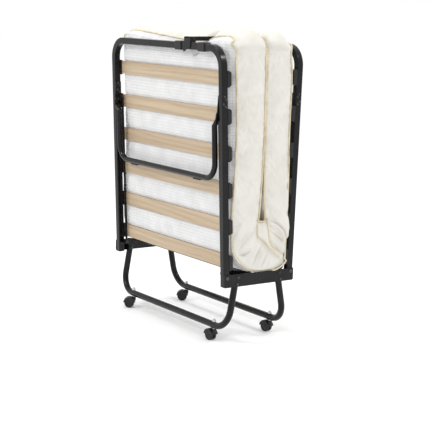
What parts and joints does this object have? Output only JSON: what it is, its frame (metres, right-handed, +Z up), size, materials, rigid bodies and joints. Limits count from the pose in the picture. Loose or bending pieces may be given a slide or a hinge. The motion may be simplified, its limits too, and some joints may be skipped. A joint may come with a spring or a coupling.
{
  "type": "folding cot",
  "caption": "Folding guest bed stored upright: two slatted tube halves around a folded mattress, on swivel castors.",
  "frame": {"origin": "on the floor, at the middle of the folded bed", "axes": "+X along the width of the bed, +Y towards the rear half, +Z up"},
  "size_m": [0.8124, 0.3754, 1.145],
  "materials": {
    "frame_paint": "satin",
    "slat_wood": "satin",
    "black_plastic": "matte",
    "wheel_plastic": "satin",
    "castor_plastic": "satin",
    "bright_steel": "satin",
    "dark_fasteners": "satin",
    "foot_rubber": "matte",
    "latch_paint": "satin",
    "mattress_ticking": "matte"
  },
  "bodies": {
    "centre_section": {"castor_leg_front": "frame_paint", "castor_leg_rear": "frame_paint", "castor_stems_and_nuts": "bright_steel", "cross_tubes": "frame_paint", "leg_bolts": "dark_fasteners", "link_lugs": "frame_paint", "mattress_bend": "mattress_ticking", "pivot_pins": "dark_fasteners", "side_plate_left": "frame_paint", "side_plate_right": "frame_paint"},
    "front_half": {"front_bracket_rivets": "dark_fasteners", "front_end_caps": "black_plastic", "front_frame_tube": "frame_paint", "front_leg_brackets": "frame_paint", "front_leg_pivot_pins": "dark_fasteners", "front_slat_1": "slat_wood", "front_slat_2": "slat_wood", "front_slat_3": "slat_wood", "front_slat_4": "slat_wood", "front_slat_5": "slat_wood", "front_slat_6": "slat_wood", "front_slat_holders": "black_plastic", "mattress_front": "mattress_ticking", "latch_collars": "black_plastic", "latch_bracket": "frame_paint", "latch_pin": "dark_fasteners"},
    "front_swing": {"front_swing_leg": "frame_paint", "front_leg_feet": "foot_rubber", "front_link_pins": "dark_fasteners"},
    "front_links": {"front_link_bars": "frame_paint"},
    "rear_half": {"rear_bracket_rivets": "dark_fasteners", "rear_end_caps": "black_plastic", "rear_frame_tube": "frame_paint", "rear_leg_brackets": "frame_paint", "rear_leg_pivot_pins": "dark_fasteners", "rear_slat_1": "slat_wood", "rear_slat_2": "slat_wood", "rear_slat_3": "slat_wood", "rear_slat_4": "slat_wood", "rear_slat_5": "slat_wood", "rear_slat_6": "slat_wood", "rear_slat_holders": "black_plastic", "mattress_rear": "mattress_ticking"},
    "rear_swing": {"rear_swing_leg": "frame_paint", "rear_leg_feet": "foot_rubber", "rear_link_pins": "dark_fasteners"},
    "rear_links": {"rear_link_bars": "frame_paint"},
    "latch": {"latch_arm": "latch_paint"},
    "swivel_front_left": {"castor_hood_front_left": "castor_plastic", "castor_axle_front_left": "bright_steel"},
    "wheels_front_left": {"castor_wheels_front_left": "wheel_plastic"},
    "swivel_front_right": {"castor_hood_front_right": "castor_plastic", "castor_axle_front_right": "bright_steel"},
    "wheels_front_right": {"castor_wheels_front_right": "wheel_plastic"},
    "swivel_rear_left": {"castor_hood_rear_left": "castor_plastic", "castor_axle_rear_left": "bright_steel"},
    "wheels_rear_left": {"castor_wheels_rear_left": "wheel_plastic"},
    "swivel_rear_right": {"castor_hood_rear_right": "castor_plastic", "castor_axle_rear_right": "bright_steel"},
    "wheels_rear_right": {"castor_wheels_rear_right": "wheel_plastic"}
  },
  "joints": [
    {"name": "front_fold", "type": "hinge", "parent": "centre_section", "child": "front_half", "pos_m": [0, -0.1426, 0.257], "axis": [1, 0, 0], "range_deg": [0, 88.16]},
    {"name": "front_leg_turn", "type": "hinge", "parent": "front_half", "child": "front_swing", "pos_m": [0, -0.16577, 0.85356], "axis": [1, 0, 0], "range_deg": [-88.16, 0]},
    {"name": "front_link_turn", "type": "hinge", "parent": "centre_section", "child": "front_links", "pos_m": [0, -0.13341, 0.2668], "axis": [1, 0, 0], "range_deg": [0, 88.16]},
    {"name": "rear_fold", "type": "hinge", "parent": "centre_section", "child": "rear_half", "pos_m": [0, 0.1426, 0.257], "axis": [-1, 0, 0], "range_deg": [0, 88.16]},
    {"name": "rear_leg_turn", "type": "hinge", "parent": "rear_half", "child": "rear_swing", "pos_m": [0, 0.16577, 0.85356], "axis": [-1, 0, 0], "range_deg": [-88.16, 0]},
    {"name": "rear_link_turn", "type": "hinge", "parent": "centre_section", "child": "rear_links", "pos_m": [0, 0.13341, 0.2668], "axis": [-1, 0, 0], "range_deg": [0, 88.16]},
    {"name": "latch_lift", "type": "hinge", "parent": "front_half", "child": "latch", "pos_m": [0, -0.17015, 1.11456], "axis": [1, 0, 0], "range_deg": [0, 80]},
    {"name": "swivel_front_left", "type": "hinge", "parent": "centre_section", "child": "swivel_front_left", "pos_m": [-0.3, -0.128, 0.04], "axis": [0, 0, 1], "continuous": true},
    {"name": "roll_front_left", "type": "hinge", "parent": "swivel_front_left", "child": "wheels_front_left", "pos_m": [-0.31007, -0.14292, 0.02], "axis": [0.829, -0.5592, 0], "continuous": true},
    {"name": "swivel_front_right", "type": "hinge", "parent": "centre_section", "child": "swivel_front_right", "pos_m": [0.3, -0.128, 0.04], "axis": [0, 0, 1], "continuous": true},
    {"name": "roll_front_right", "type": "hinge", "parent": "swivel_front_right", "child": "wheels_front_right", "pos_m": [0.28227, -0.13113, 0.02], "axis": [0.1736, -0.9848, 0], "continuous": true},
    {"name": "swivel_rear_left", "type": "hinge", "parent": "centre_section", "child": "swivel_rear_left", "pos_m": [-0.3, 0.128, 0.04], "axis": [0, 0, 1], "continuous": true},
    {"name": "roll_rear_left", "type": "hinge", "parent": "swivel_rear_left", "child": "wheels_rear_left", "pos_m": [-0.31007, 0.11308, 0.02], "axis": [0.829, -0.5592, 0], "continuous": true},
    {"name": "swivel_rear_right", "type": "hinge", "parent": "centre_section", "child": "swivel_rear_right", "pos_m": [0.3, 0.128, 0.04], "axis": [0, 0, 1], "continuous": true},
    {"name": "roll_rear_right", "type": "hinge", "parent": "swivel_rear_right", "child": "wheels_rear_right", "pos_m": [0.28227, 0.12487, 0.02], "axis": [0.1736, -0.9848, 0], "continuous": true}
  ],
  "couplings": [
    {"joint": "front_leg_turn", "follows": "front_fold", "ratio": -1},
    {"joint": "front_link_turn", "follows": "front_fold", "ratio": 1},
    {"joint": "rear_leg_turn", "follows": "rear_fold", "ratio": -1},
    {"joint": "rear_link_turn", "follows": "rear_fold", "ratio": 1}
  ]
}
